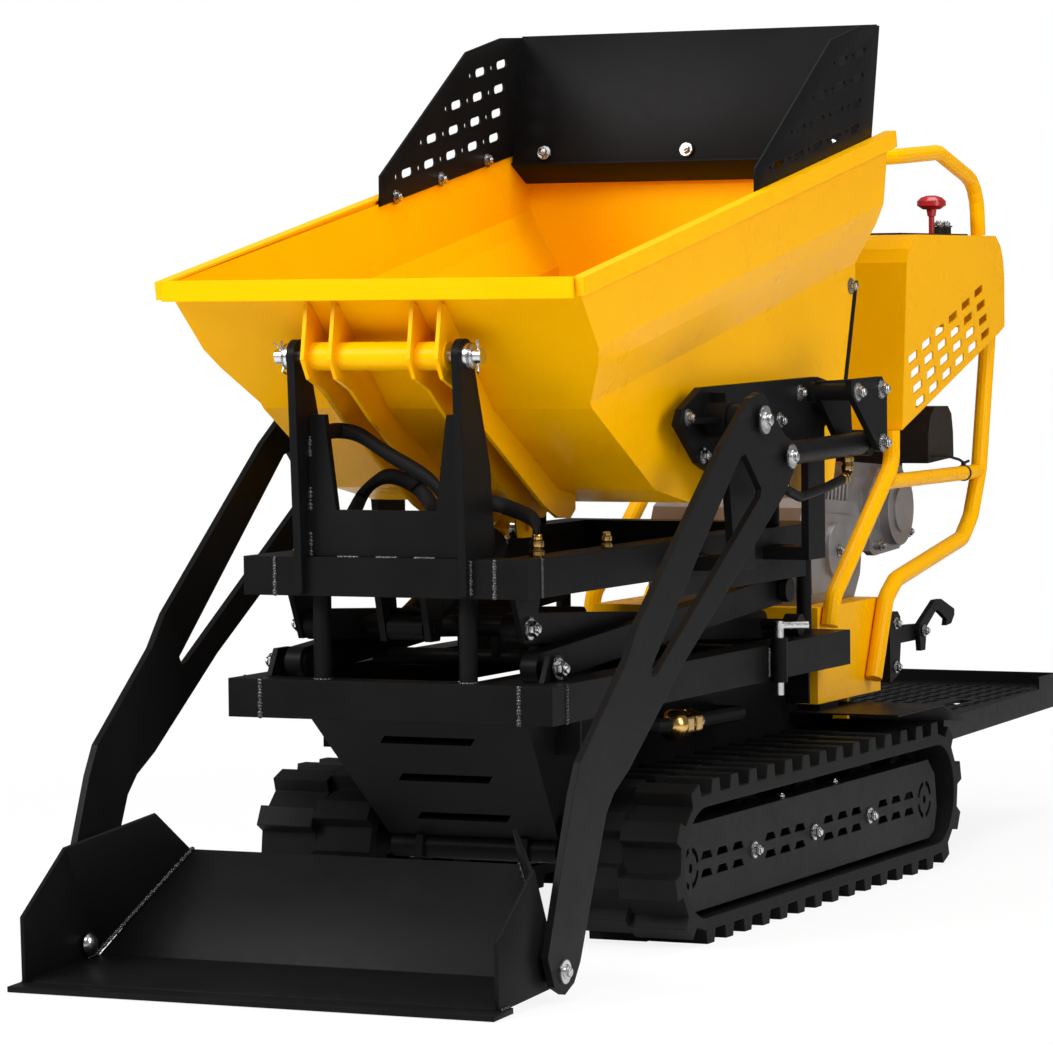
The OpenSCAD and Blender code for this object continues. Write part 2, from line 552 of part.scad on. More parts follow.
module tub_rails() color(yellow) seat() {
  mx() along([[tub_half + 0.1, -22], [tub_half + 14, -22], [tub_half + 14, 4], [tub_half - 4.7, 4], [tub_half - 4.7, 0.1], [tub_half + 0.1, 0.1]], -4, 1237);
  block(-tub_half, tub_half, -62, -58, 932, 958);
  block(-tub_half, tub_half, -62, -46, 958, 962);
}
module tub_ribs() color(yellow) seat() {
  difference() {
    union() {
      mx() for (x = [58, 101]) side(x, x + 6) polygon([[-34, 928], [-48, 850], [-30, 822], [14, 806], [76, 762], [300, 632],
        [350, 612], [392, 610], [410, 622], [410, tub_z + 12.8], [350, tub_z + 23.9], [130, 776.9], [-20, 924.3]]);
      xrod(hinge[0], hinge[1], 20, -hinge_half, hinge_half);
    }
    xrod(hinge[0], hinge[1], pin_r + gap, -hinge_half - 1, hinge_half + 1);
  }
  for (x = [-32, 22]) side(x, x + 10) difference() {
    polygon([[380, tub_z + 18.3], [420, tub_z + 11], [425, tub_z + 10], [420, 580], [388, 580]]);
    translate(tip_t) circle(8);
  }
}
module tub_guard() color(black) seat() {
  w = tub_half - 0.8;
  mx() side(w - 8.5, w - 4.5) difference() {
    polygon([[615, 1074], [615, 1121], [928, 1324], [1060, 1352], [1142, 1356], [1100, 1162], [800, 1106]]);
    for (r = [0:3], i = [0:[1, 2, 3, 3][r]]) translate([[905, 842, 782, 722][r] + 86 * i, 1285 - 40 * r + 4 * i]) {
      polygon([[0, 0], [60, 3], [60, 16], [0, 13]]);
      if (i < [1, 2, 3, 3][r]) translate([64, 7]) square([18, 3]);
    }
  }
  side(-w + 8.5, w - 8.5) polygon([[1092, 1150], [1096, 1150], [1140, 1356], [1136, 1356]]);
  side(-w + 8.5, w - 8.5) polygon([[1092, 1150], [1096, 1150], [1150, 1120], [1148, 1116]]);
}

// Loader arms and shovel
module arm_line() {
  difference() {
    union() {
      polygon([[434, 785], [470, 790], [505, 772], [598, 706], [602, 672], [566, 640], [175, 417], [-16, 289], [-68, 262], [-95, 236],
        [-184, 48], [-205, 22], [-235, 10], [-268, 24], [-289, 65], [-202, 273], [-178, 314], [-20, 438], [20, 485], [325, 718]]);
      translate(lp) circle(40);
      translate(le) circle(29);
    }
    polygon([[413, 705], [392, 700], [60, 420], [68, 408], [84, 412], [470, 640], [474, 652]]);
    translate(lp) circle(14);
    translate(le) circle(8);
  }
}
module arm_side() color(black) seat() {
  side(arm_x - arm_pl, arm_x) arm_line();
  xrod(lp[0], lp[1], 14, arm_x - arm_pl - gap + 0.5, arm_x + 6);
  xrod(le[0], le[1], 8, arm_x - arm_pl + 0.5, arm_x + 7);
}
module loader_arm_left() arm_side();
module loader_arm_right() mirror([1, 0, 0]) arm_side();
// A plate standing on a line between two plan points, given as [x, side length], outlined by [share of the line, height]
module wall(a, b, p, t) {
  d = b - a;
  translate([a[0], a[1], 0]) rotate([0, 0, atan2(d[1], d[0])]) rotate([90, 0, 0]) linear_extrude(t)
    polygon([for (q = p) [q[0] * norm(d), q[1]]]);
}
module shovel() color(black) seat() {
  f = [sh_half, -434];
  m = [301, -293];
  b = [257, -81];
  q = sh_t;
  translate([0, -432.65, 3]) rotate([13, 0, 0]) linear_extrude(q) polygon([[-f[0], 0], [f[0], 0], [m[0], 143.5], [-m[0], 143.5]]);
  translate([0, -293, 35.6]) rotate([29.7, 0, 0]) linear_extrude(q) polygon([[-m[0], 0], [m[0], 0], [b[0], 244], [-b[0], 244]]);
  mx() {
    wall([f[0] - 4, -425], m, [[0, 6], [1, 38], [1, 202], [0.6, 192], [0, 103]], q);
    wall(m, b, [[0, 38], [1, 158], [1, 168], [0.53, 221], [0, 202]], q);
    block(290, arm_x - arm_pl, -258, -214, 41, 110);
    xrod(-236, 41, 12, 286, arm_x - arm_pl);
  }
}

// Cylinders: [side length, height] of the fixed pin, of the rod pin, closed parts along the line
module cyl_line(a, b) translate([0, a[0], a[1]]) rotate([atan2(b[1] - a[1], b[0] - a[0]), 0, 0]) children();
module yrod(v0, v1, r) translate([0, v0, 0]) rotate([-90, 0, 0]) cylinder(r = r, h = v1 - v0);
module loader_barrels() color(black) seat() mx() translate([342, 0, 0]) cyl_line(lr, le) difference() {
  union() {
    yrod(16, 345, cyl_r);
    xrod(0, 0, 20, -13, 13);
    yrod(0, 20, 13);
  }
  xrod(0, 0, 9 + gap, -14, 14);
  yrod(60, 346, rod_r + gap);
}
module loader_hoses() color(rubber) seat() mx()
  pipe([[342, 648, 677.2], [342, 648, 644], [342, 708, 629], [342, 812, 638], [342, 911, 652], [342, 911, 681.8]], 7.5, 18, 10);
module loader_rods() color(steel) seat() mx() translate([342, 0, 0]) cyl_line(lr, le) {
  yrod(75, norm(le - lr) - 10, rod_r);
  difference() {
    xrod(norm(le - lr), 0, 19, -13, 13);
    xrod(norm(le - lr), 0, 9, -14, 14);
  }
}
lift_p = [arm_y + lift_d * cos(arm_rest), pin_low + lift_d * sin(arm_rest)];
module lift_barrel() color(black) seat() cyl_line(lift_a, lift_p) difference() {
  union() {
    yrod(31, 385, 28);
    xrod(0, 0, 22, -22, 22);
    yrod(0, 33, 18);
  }
  yrod(60, 386, 16 + gap);
  xrod(0, 0, 10, -23, 23);
}
module lift_rod() color(steel) seat() cyl_line(lift_a, lift_p) {
  yrod(75, norm(lift_p - lift_a) - 10, 16);
  difference() {
    xrod(norm(lift_p - lift_a), 0, 20, -20, 20);
    xrod(norm(lift_p - lift_a), 0, 8, -21, 21);
  }
}
module tip_barrel() color(black) seat() cyl_line(tip_k, tip_t) {
  difference() {
    union() {
      yrod(14, 290, 27);
      yrod(0, 20, 18);
      xrod(0, 0, 18, -28, 28);
    }
    yrod(36, 291, 21 + gap);
  }
  xrod(0, 0, 10, -44, 44);
}
module tip_stage() color(steel) seat() cyl_line(tip_k, tip_t) difference() {
  yrod(40, 306, 21);
  yrod(52, 307, 15 + gap);
}
module tip_rod() color(steel) seat() cyl_line(tip_k, tip_t) {
  l = norm(tip_t - tip_k);
  yrod(56, l - 10, 15);
  difference() {
    xrod(l, 0, 18, -20, 20);
    xrod(l, 0, 8, -21, 21);
  }
}

chassis();
lower_frame();
lift_mount();
track_frame_left();
track_frame_right();
rollers_left();
rollers_right();
track_left();
track_right();
track_guard_left();
track_guard_right();
frame_lugs();
side_hoses();
lock_pins();
rear_box();
mudguards();
rear_frame();
rear_bars();
console_cover();
control_panel();
red_knob();
handle_bar();
engine_block();
engine_shroud();
air_filter();
latch_plate();
latch_hook();
platform();
scissor_outer();
scissor_inner();
scissor_rollers();
upper_frame();
up_lugs();
up_hoses();
tip_bracket();
tip_pin();
loader_bracket_left();
loader_bracket_right();
tub_shell();
tub_rails();
tub_ribs();
tub_guard();
loader_arm_left();
loader_arm_right();
shovel();
lift_barrel();
lift_rod();
tip_barrel();
tip_stage();
tip_rod();
loader_barrels();
loader_hoses();
loader_rods();
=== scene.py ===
import json
import math
import bpy
from mathutils import Matrix, Vector

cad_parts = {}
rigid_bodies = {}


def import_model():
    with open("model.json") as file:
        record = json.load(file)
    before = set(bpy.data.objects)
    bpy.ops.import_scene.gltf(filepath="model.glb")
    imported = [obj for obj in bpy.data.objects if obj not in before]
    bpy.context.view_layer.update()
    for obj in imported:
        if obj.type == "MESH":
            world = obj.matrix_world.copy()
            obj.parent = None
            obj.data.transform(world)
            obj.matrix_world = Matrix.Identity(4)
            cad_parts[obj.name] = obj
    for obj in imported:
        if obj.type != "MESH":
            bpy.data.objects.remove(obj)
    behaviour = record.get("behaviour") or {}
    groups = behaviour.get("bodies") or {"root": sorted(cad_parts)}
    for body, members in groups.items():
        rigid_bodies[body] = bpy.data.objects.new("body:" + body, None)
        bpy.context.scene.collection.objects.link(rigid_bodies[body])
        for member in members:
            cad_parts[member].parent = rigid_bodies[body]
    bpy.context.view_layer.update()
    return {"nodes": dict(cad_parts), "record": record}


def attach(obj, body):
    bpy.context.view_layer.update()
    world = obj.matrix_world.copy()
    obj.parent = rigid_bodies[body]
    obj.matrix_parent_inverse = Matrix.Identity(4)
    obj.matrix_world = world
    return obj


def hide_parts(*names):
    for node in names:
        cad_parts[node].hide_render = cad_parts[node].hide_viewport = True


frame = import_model()
nodes = frame["nodes"]

# Camera
# The picture was taken from the front left corner with a long lens, a little above the tub's rim.
# The place and the turn come from lines of the frames, the tracks and the tub.
yaw = math.radians(24.79)
pitch = math.radians(2.82)
roll = math.radians(-0.56)
back = Vector((math.sin(yaw) * math.cos(pitch), -math.cos(yaw) * math.cos(pitch), math.sin(pitch)))
right = Vector((math.cos(yaw), math.sin(yaw), 0))
up = back.cross(right)
turned_right = right * math.cos(roll) + up * math.sin(roll)
turned_up = up * math.cos(roll) - right * math.sin(roll)
focal_points = 4744.6
picture_width = 1053
lens = bpy.data.cameras.new("camera")
lens.sensor_width = 36
lens.lens = focal_points * lens.sensor_width / picture_width
camera = bpy.data.objects.new("camera", lens)
bpy.context.scene.collection.objects.link(camera)
camera.matrix_world = Matrix((
    (turned_right.x, turned_up.x, back.x, 2.956),
    (turned_right.y, turned_up.y, back.y, -6.794),
    (turned_right.z, turned_up.z, back.z, 0.945),
    (0, 0, 0, 1)))
bpy.context.scene.camera = camera


# Floor and studio light
# A pale sweep of paper under the machine, with four wide lamps: left, right, above and in front.
# The paper is white to the camera, dimmer to gloss, and keeps a faint shadow.
class Wire:
    def __init__(self, tree, out=None):
        self.tree = tree
        self.out = out

    def node(self, kind, sets=None, ins=None, out=0):
        made = self.tree.nodes.new(kind)
        for key, value in (sets or {}).items():
            setattr(made, key, value)
        for key, value in (ins or {}).items():
            if isinstance(value, Wire):
                self.tree.links.new(value.out, made.inputs[key])
            else:
                made.inputs[key].default_value = value
        return Wire(self.tree, made.outputs[out] if made.outputs else None)

    def math(self, operation, first, second):
        return self.node("ShaderNodeMath", {"operation": operation}, {0: first, 1: second})

    def __add__(self, other):
        return self.math("ADD", self, other)

    __radd__ = __add__

    def __mul__(self, other):
        return self.math("MULTIPLY", self, other)

    def __sub__(self, other):
        return self.math("SUBTRACT", self, other)

    def __rsub__(self, other):
        return self.math("SUBTRACT", other, self)

    def clip(self, low, high):
        return self.node("ShaderNodeMapRange", {"clamp": True}, {0: self, 1: low, 2: high, 3: 0.0, 4: 1.0})

    def blend(self, first, second):
        return self.node("ShaderNodeMix", {"data_type": "RGBA"}, {0: self, 6: first, 7: second}, 2)


def new_material(name):
    made = bpy.data.materials.new(name)
    made.use_nodes = True
    made.node_tree.nodes.clear()
    return made, Wire(made.node_tree)


paper, ground = new_material("paper")
ray = ground.node("ShaderNodeLightPath", out="Is Camera Ray")
gloss_ray = ground.node("ShaderNodeLightPath", out="Is Glossy Ray")
glass_ray = ground.node("ShaderNodeLightPath", out="Is Transmission Ray")
matt = ground.node("ShaderNodeBsdfDiffuse", ins={"Color": (0.86, 0.86, 0.86, 1)})
glow = ground.node("ShaderNodeEmission", ins={"Color": (1, 1, 1, 1), "Strength": 1.0})
shown = (ray + gloss_ray * 0.2 + glass_ray).clip(0.0, 1.0)
spread = ground.node("ShaderNodeTexCoord", out="Object")
far = ground.node("ShaderNodeVectorMath", {"operation": "LENGTH"}, {0: spread}, "Value").clip(0.7, 2.4)
near = 1.0 - far
shadow_share = 0.15
mixed = ground.node("ShaderNodeMixShader", ins={0: shown * (1.0 - near * shadow_share), 1: matt, 2: glow})
ground.node("ShaderNodeOutputMaterial", ins={"Surface": mixed})
bpy.ops.object.select_all(action="DESELECT")
bpy.ops.mesh.primitive_plane_add(size=60)
floor = bpy.context.object
floor.name = "floor"
floor.data.materials.append(paper)
world = bpy.data.worlds.new("studio")
bpy.context.scene.world = world
world.use_nodes = True
world.node_tree.nodes.clear()
air = Wire(world.node_tree)
seen = (air.node("ShaderNodeLightPath", out="Is Camera Ray")
        + air.node("ShaderNodeLightPath", out="Is Transmission Ray")).clip(0.0, 1.0)
dim = air.node("ShaderNodeBackground", ins={"Color": (1, 1, 1, 1), "Strength": 0.20})
white = air.node("ShaderNodeBackground", ins={"Color": (1, 1, 1, 1), "Strength": 1.0})
sky = air.node("ShaderNodeMixShader", ins={0: seen, 1: dim, 2: white})
air.node("ShaderNodeOutputWorld", ins={"Surface": sky})


def soft_lamp(name, place, target, size, watts):
    lamp = bpy.data.lights.new(name, "AREA")
    lamp.shape = "RECTANGLE"
    lamp.size = size[0]
    lamp.size_y = size[1]
    lamp.energy = watts
    made = bpy.data.objects.new(name, lamp)
    bpy.context.scene.collection.objects.link(made)
    made.location = place
    made.rotation_euler = (Vector(target) - Vector(place)).to_track_quat("-Z", "Y").to_euler()


soft_lamp("key_lamp", (-2.6, -4.2, 3.4), (0, -0.3, 0.6), (2.2, 2.2), 225)
soft_lamp("side_lamp", (4.6, -1.2, 2.6), (0, 0, 0.6), (2.0, 3.0), 125)
soft_lamp("top_lamp", (0.4, 0.4, 4.4), (0, 0, 0.6), (2.6, 3.4), 115)
soft_lamp("front_lamp", (0.9, -4.4, 4.6), (0, 0.2, 0.9), (1.6, 1.6), 120)
bpy.context.scene.view_settings.view_transform = "Standard"


# Finishes that many pieces share
# Powder coat in black, sprayed yellow enamel, rubber, zinc plate, cast alloy and grained plastic.
# Each has its own grain, its cloudy change of gloss and softened edges.
def finish(name, colour, second, roughness, metal=0.0, coat=0.0, grain=900.0, bump=0.06,
           edge=0.0016, shine=0.5):
    made, net = new_material(name)
    place = net.node("ShaderNodeTexCoord", out="Object")
    cloud = 9.0
    clouds = net.node("ShaderNodeTexNoise", ins={
        "Vector": place, "Scale": cloud, "Detail": 4.0, "Roughness": 0.6})
    fine = net.node("ShaderNodeTexNoise", ins={"Vector": place, "Scale": grain, "Detail": 2.0})
    marks = net.node("ShaderNodeTexNoise", ins={
        "Vector": place, "Scale": cloud * 6, "Detail": 6.0, "Roughness": 0.7})
    patch = clouds.clip(0.35, 0.68)
    shade = (patch * 0.75 + marks.clip(0.5, 0.75) * 0.25).blend((*colour, 1), (*second, 1))
    gloss = roughness + patch * 0.06 + marks.clip(0.45, 0.8) * 0.07 - 0.04
    soft = net.node("ShaderNodeBevel", {"samples": 4}, {"Radius": edge})
    relief = net.node("ShaderNodeBump", ins={
        "Strength": bump, "Distance": 0.0006, "Height": fine, "Normal": soft})
    shader = net.node("ShaderNodeBsdfPrincipled", ins={
        "Base Color": shade, "Roughness": gloss, "Metallic": metal, "Coat Weight": coat,
        "Coat Roughness": 0.12, "Normal": relief, "Specular IOR Level": shine})
    net.node("ShaderNodeOutputMaterial", ins={"Surface": shader})
    return made


black_paint = finish("black_paint", (0.0058, 0.0058, 0.0061), (0.0078, 0.0078, 0.0081), 0.42,
                     grain=1500, bump=0.10, shine=0.055)
yellow_paint = finish("yellow_paint", (0.92, 0.44, 0.0), (0.94, 0.46, 0.0005), 0.30,
                      coat=0.02, grain=420, bump=0.05, shine=0.05)
rubber = finish("rubber", (0.0055, 0.0055, 0.0055), (0.012, 0.0117, 0.0114), 0.55,
                grain=1100, bump=0.25, edge=0.003, shine=0.08)
zinc = finish("zinc_steel", (0.56, 0.56, 0.57), (0.68, 0.68, 0.68), 0.26, metal=1.0, grain=1400, bump=0.08)
chrome = finish("chrome_rod", (0.72, 0.73, 0.74), (0.78, 0.78, 0.79), 0.10, metal=1.0, grain=1800, bump=0.03)
alloy = finish("cast_alloy", (0.30, 0.30, 0.31), (0.40, 0.40, 0.41), 0.46, metal=0.85, grain=700, bump=0.30)
plastic = finish("black_plastic", (0.010, 0.010, 0.010), (0.015, 0.015, 0.015), 0.50,
                 grain=1700, bump=0.30, shine=0.2)
red = finish("red_plastic", (0.36, 0.008, 0.014), (0.42, 0.012, 0.02), 0.26, coat=0.4, grain=900, bump=0.03)

coats = {"black_paint": black_paint, "yellow_paint": yellow_paint, "rubber": rubber, "zinc_steel": zinc,
         "engine_grey": alloy, "black_plastic": plastic, "red_plastic": red}
for row in frame["record"]["subparts"]:
    mesh = nodes[row["node"]].data
    mesh.materials.clear()
    mesh.materials.append(coats[row["material_slot"]])
for name in ("lift_rod", "tip_stage", "tip_rod", "loader_rods"):
    nodes[name].data.materials[0] = chrome

for name in ("rear_frame", "handle_bar", "loader_hoses", "side_hoses"):
    bpy.ops.object.select_all(action="DESELECT")
    nodes[name].select_set(True)
    bpy.context.view_layer.objects.active = nodes[name]
    bpy.ops.object.shade_smooth_by_angle(angle=math.radians(35))


# Bolts and washers
# Zinc plated hexagon bolts on plain washers hold the brackets, the guard, the strips and the track covers.
# One bolt is turned up here, and each place gets its own copy, grouped by the body that carries it.
def begin(name):
    bpy.ops.object.select_all(action="DESELECT")
    piece = bpy.data.objects.new(name, bpy.data.meshes.new(name))
    bpy.context.scene.collection.objects.link(piece)
    bpy.context.view_layer.objects.active = piece
    piece.select_set(True)
    bpy.ops.object.mode_set(mode="EDIT")
    return piece


def rod(radius, low, high, sides=24, round_off=0.0006):
    bpy.ops.mesh.select_all(action="DESELECT")
    bpy.ops.mesh.primitive_cylinder_add(vertices=sides, radius=radius, depth=high - low,
                                        location=(0, 0, (low + high) / 2))
    bpy.ops.mesh.select_mode(type="EDGE")
    # A round step's bevel runs over the steps before it as well, a hexagon's over its own edges only.
    if sides > 6:
        bpy.ops.mesh.select_all(action="SELECT")
    bpy.ops.mesh.bevel(offset=round_off, segments=2, affect="EDGES")


def wear(piece, body):
    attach(piece, body)
    slot = piece.data.materials[0].name
    slot in coats


def close(piece, material, body, angle=32):
    bpy.ops.mesh.select_all(action="SELECT")
    bpy.ops.mesh.normals_make_consistent(inside=False)
    bpy.ops.object.mode_set(mode="OBJECT")
    piece.data.materials.append(material)
    bpy.ops.object.shade_smooth_by_angle(angle=math.radians(angle))
    if body:
        wear(piece, body)


def spot(y, z, x):
    middle = 863
    return Vector((x / 1000, (y - middle) / 1000, z / 1000))


def copies(name, model, body, spots):
    bpy.ops.object.select_all(action="DESELECT")
    made = []
    for place, out, size in spots:
        turn = Vector(out).to_track_quat("Z", "Y").to_matrix().to_4x4()
        mesh = model.data.copy()
        mesh.transform(Matrix.Translation(place) @ turn @ Matrix.Scale(size, 4))
        piece = bpy.data.objects.new(name, mesh)
        bpy.context.scene.collection.objects.link(piece)
        piece.select_set(True)
        made.append(piece)
    bpy.context.view_layer.objects.active = made[0]
    if len(made) > 1:
        bpy.ops.object.join()
    made[0].name = name
    wear(made[0], body)
    return made[0]


def sides(y, z, x, size=1.0):
    return [(spot(y, z, x), (1, 0, 0), size), (spot(y, z, -x), (-1, 0, 0), size)]


bolt = begin("bolt")
rod(0.0125, 0.0, 0.0024)
rod(0.0088, 0.0024, 0.0090, 6, 0.0010)
rod(0.0048, 0.0088, 0.0125, 16, 0.0008)
close(bolt, zinc, None)
bracket_spots = []
for y, z in ((384, 758), (441, 701), (742, 743), (826, 783), (943, 755)):
    bracket_spots += sides(y, z, 297, 0.95)
for y, z in ((868, 783), (972, 785), (976, 702)):
    bracket_spots += sides(y, z, 375, 1.15)
copies("bracket_bolts", bolt, "upper_frame", bracket_spots)
cover_spots = []
for y in (557, 801, 1040):
    cover_spots += sides(y, 113, 326, 1.05)
for y in (691, 913):
    cover_spots += [(spot(y, 176, x), (0, 0, 1), 0.6) for x in (316, -316)]
copies("cover_bolts", bolt, "undercarriage", cover_spots)
guard_spots = []
for y, z in ((668, 1090), (829, 1120), (1000, 1153)):
    guard_spots += [(spot(y, z, -309), (1, 0, 0), 0.9), (spot(y, z, 309), (-1, 0, 0), 0.9)]
guard_spots += [(spot(1093, 1166, x), (0, -1, 0.2), 0.9) for x in (-250, 0, 250)]
copies("guard_bolts", bolt, "tub", guard_spots)
copies("stop_bolts", bolt, "tub", sides(1143, 945, 260.3, 1.0))
copies("upper_scissor_bolts", bolt, "scissor_inner", sides(90, 470, 178, 1.35))
copies("lower_scissor_bolts", bolt, "scissor_outer", sides(90, 415, 221, 1.35))
latch_spots = [(spot(1468, z, 213), (1, 0, 0), 0.85) for z in (312, 385)]
latch_spots += [(spot(1576, 365, 224), (1, 0, 0), 0.8)]
copies("latch_bolts", bolt, "undercarriage", latch_spots)


# Pivot caps and pin ends
# Broad washers with a round keeper plate close the arms' pivots; the tipping hinge's pin ends in split pins.
# Turned from bright bar, pushed on by hand and locked by the bolt or by the split pin.
cap = begin("cap")
rod(0.021, 0.0, 0.0035, 40)
rod(0.0125, 0.0035, 0.0060, 32)
rod(0.0088, 0.0060, 0.0125, 6, 0.0011)
close(cap, zinc, None)
cap_spots = sides(472, 752, 381) + sides(576, 695, 382, 0.86) + sides(-236, 41, 375, 0.8)
copies("pivot_caps", cap, "loader", cap_spots)
washer = begin("washer")
rod(0.019, 0.0, 0.0030, 40)
rod(0.016, 0.0030, 0.0055, 40)
close(washer, zinc, None)
copies("hinge_washers", washer, "upper_frame", sides(-15, 854, 142.2, 0.95))


def wire(path, radius, sides=8):
    bpy.ops.mesh.select_mode(type="VERT")
    bpy.ops.mesh.select_all(action="DESELECT")
    points = [Vector(p) for p in path]
    first = (points[1] - points[0]).normalized()
    bpy.ops.mesh.primitive_circle_add(vertices=sides, radius=radius, fill_type="NGON", location=points[0],
                                      rotation=first.to_track_quat("Z", "Y").to_euler())
    for i in range(1, len(points)):
        bpy.ops.mesh.extrude_region_move(TRANSFORM_OT_translate={"value": points[i] - points[i - 1]})
        if i + 1 < len(points):
            old = (points[i] - points[i - 1]).normalized()
            new = (points[i + 1] - points[i]).normalized()
            half = (old + new).normalized()
            before = old if i == 1 else ((points[i - 1] - points[i - 2]).normalized() + old).normalized()
            axis = before.cross(half)
            if axis.length > 1e-4:
                axis.normalize()
                cross = Vector((0, 0, 1)) if abs(axis.z) < 0.9 else Vector((1, 0, 0))
                u = axis.cross(cross).normalized()
                frame_axes = Matrix((u, axis.cross(u), axis)).transposed()
                bpy.ops.transform.rotate(value=-before.angle(half), orient_axis="Z", orient_type="GLOBAL",
                                         orient_matrix=frame_axes, orient_matrix_type="GLOBAL",
                                         center_override=points[i])


split_pin = begin("split_pin")
wire([(0.0005, 0.004, 0.016), (0.0005, 0.0015, 0.010), (0.0, 0.0008, -0.010),
      (0.0, 0.0045, -0.0150), (0.0, 0.0, -0.0195), (0.0, -0.0045, -0.0150),
      (0.0, -0.0008, -0.010), (0.0005, -0.0015, 0.010), (0.0005, -0.009, 0.019)], 0.0011)
close(split_pin, zinc, None)
copies("split_pins", split_pin, "upper_frame",
       [(spot(-15, 854, 152), (0.1, -0.3, 1), 1.35), (spot(-15, 854, -152), (-0.1, -0.3, 1), 1.35)])


# Welds
# Short runs of bead fix the hinge cheeks and the tubes; painted with the frames, they glint a little more.
# One solidified drop is modelled and laid along each seam with a little change of size.
weld_paint = finish("weld_paint", (0.012, 0.012, 0.0125), (0.034, 0.034, 0.034), 0.24,
                    coat=0.3, grain=600, bump=0.5, edge=0.0006)
drop = begin("drop")
bpy.ops.mesh.primitive_uv_sphere_add(segments=8, ring_count=6, radius=0.0042)
bpy.ops.transform.resize(value=(1.0, 0.75, 0.5))
bpy.ops.mesh.select_all(action="DESELECT")
close(drop, weld_paint, None, 60)


def seam(start, end, out, size=1.0):
    start = Vector(start)
    end = Vector(end)
    step = 0.0040 * size
    count = max(2, int((end - start).length / step))
    run = []
    for i in range(count):
        lean = Vector((math.sin(i * 2.3), math.cos(i * 1.7), math.sin(i * 3.1)))
        swell = 1.0 + 0.18 * math.sin(i * 1.9) + 0.12 * math.cos(i * 4.3)
        run.append((start.lerp(end, i / (count - 1)), Vector(out) + 0.25 * lean, size * swell))
    return run


runs = []
for x in (-121, 121):
    for low, high in ((715, 740), (640, 668), (574, 604)):
        runs += seam(spot(1, low, x * 0.985), spot(1, high, x * 0.985), (0, -1, 0))
    outer = 134 if x > 0 else -134
    runs += seam(spot(-9.5, 524, outer), spot(-9.5, 568, outer), (0, -1, 0))
for x in (-60, 0, 60):
    runs += seam(spot(1, 572.5, x - 14), spot(1, 572.5, x + 14), (0, -1, 1))
for x in (221, -221):
    runs += seam(spot(41, 519, x), spot(41, 570, x), (1 if x > 0 else -1, 0, 0), 0.9)
    runs += seam(spot(560, 545.5, x * 1.06), spot(640, 545.5, x * 1.06), (0, 0, 1), 0.9)
    runs += seam(spot(-9.2, 519, x * 0.775), spot(-9.2, 570, x * 0.775), (0, -1, 0), 0.9)
copies("upper_welds", drop, "upper_frame", runs)
runs = []
for x in (253, -253):
    runs += seam(spot(50, 344, x), spot(50, 395, x), (1 if x > 0 else -1, 0, 0))
    runs += seam(spot(0, 344, x * 0.8), spot(0, 395, x * 0.8), (0, -1, 0))
    runs += seam(spot(799, 350, x * 1.008), spot(799, 392, x * 1.008), (1 if x > 0 else -1, -0.6, 0), 0.8)
for x in (114, -114):
    for step in range(13):
        across = math.cos(step * 0.5)
        along = math.sin(step * 0.5)
        runs.append((spot(25 + 13 * along, 397.5, x + 13 * across), (across, along, 0.6), 0.9))
copies("lower_welds", drop, "undercarriage", runs)


# Shovel
# A welded scoop of 6 mm sheet: a cutting bar, a floor, a steep back, and side walls with one slanted fold.
# Each sheet is cut from a block along its own edges; round-headed bolts through the walls hold the arms.
def sheet(corners, thick):
    points = [spot(y, z, x) for x, y, z in corners]
    middle = sum(points, Vector()) / len(points)
    out = (points[1] - points[0]).cross(points[2] - points[0]).normalized()
    bpy.ops.mesh.select_all(action="DESELECT")
    bpy.ops.mesh.primitive_cube_add(size=1.6, location=middle)
    cuts = [(points[0], out), (points[0] - out * thick, -out)]
    for i in range(len(points)):
        edge = points[(i + 1) % len(points)] - points[i]
        cuts.append((points[i], edge.cross(out)))
    for place, away in cuts:
        bpy.ops.mesh.bisect(plane_co=place, plane_no=away, use_fill=True, clear_outer=True)
        bpy.ops.mesh.select_linked()
    bpy.ops.mesh.bevel(offset=0.0007, segments=2, affect="EDGES")


scoop = begin("shovel_scoop")
bpy.ops.mesh.select_mode(type="EDGE")
sheet([(-364, -434, 9.5), (364, -434, 9.5), (364, -374, 12), (-364, -374, 12)], 0.008)
sheet([(-352, -396, 13), (352, -396, 13), (352, -205, 24), (-352, -205, 24)], 0.006)
sheet([(-352, -209, 21), (352, -209, 21), (258, -110, 165), (-258, -110, 165)], 0.006)
for side in (1, -1):
    wide = 358 * side
    front_wall = [(wide, -405, 9), (wide, -208, 20), (wide, -291, 183), (wide, -408, 101)]
    rear_wall = [(wide, -208, 20), (258 * side, -107, 163), (278 * side, -174.5, 222), (wide, -291, 183)]
    for wall in (front_wall, rear_wall):
        sheet(wall if side > 0 else wall[::-1], 0.006)
bpy.ops.mesh.select_mode(type="FACE")
close(scoop, black_paint, "loader")
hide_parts("shovel")
dome = begin("dome")
bpy.ops.mesh.primitive_uv_sphere_add(segments=32, ring_count=16, radius=0.012)
bpy.ops.mesh.bisect(plane_co=(0, 0, 0.001), plane_no=(0, 0, -1), use_fill=True, clear_outer=True)
bpy.ops.mesh.select_all(action="SELECT")
bpy.ops.transform.resize(value=(1.0, 1.0, 0.72))
close(dome, zinc, None, 60)
dome_spots = [(spot(-240, 43, 351.4 * side), (-side, 0, 0), 1.4) for side in (1, -1)]
copies("shovel_bolts", dome, "loader", dome_spots)
bush = begin("bush")
rod(0.016, 0.0, 0.0068, 32)
close(bush, black_paint, None)
copies("shovel_bushes", bush, "loader", sides(-236, 41, 358.1))
runs = []
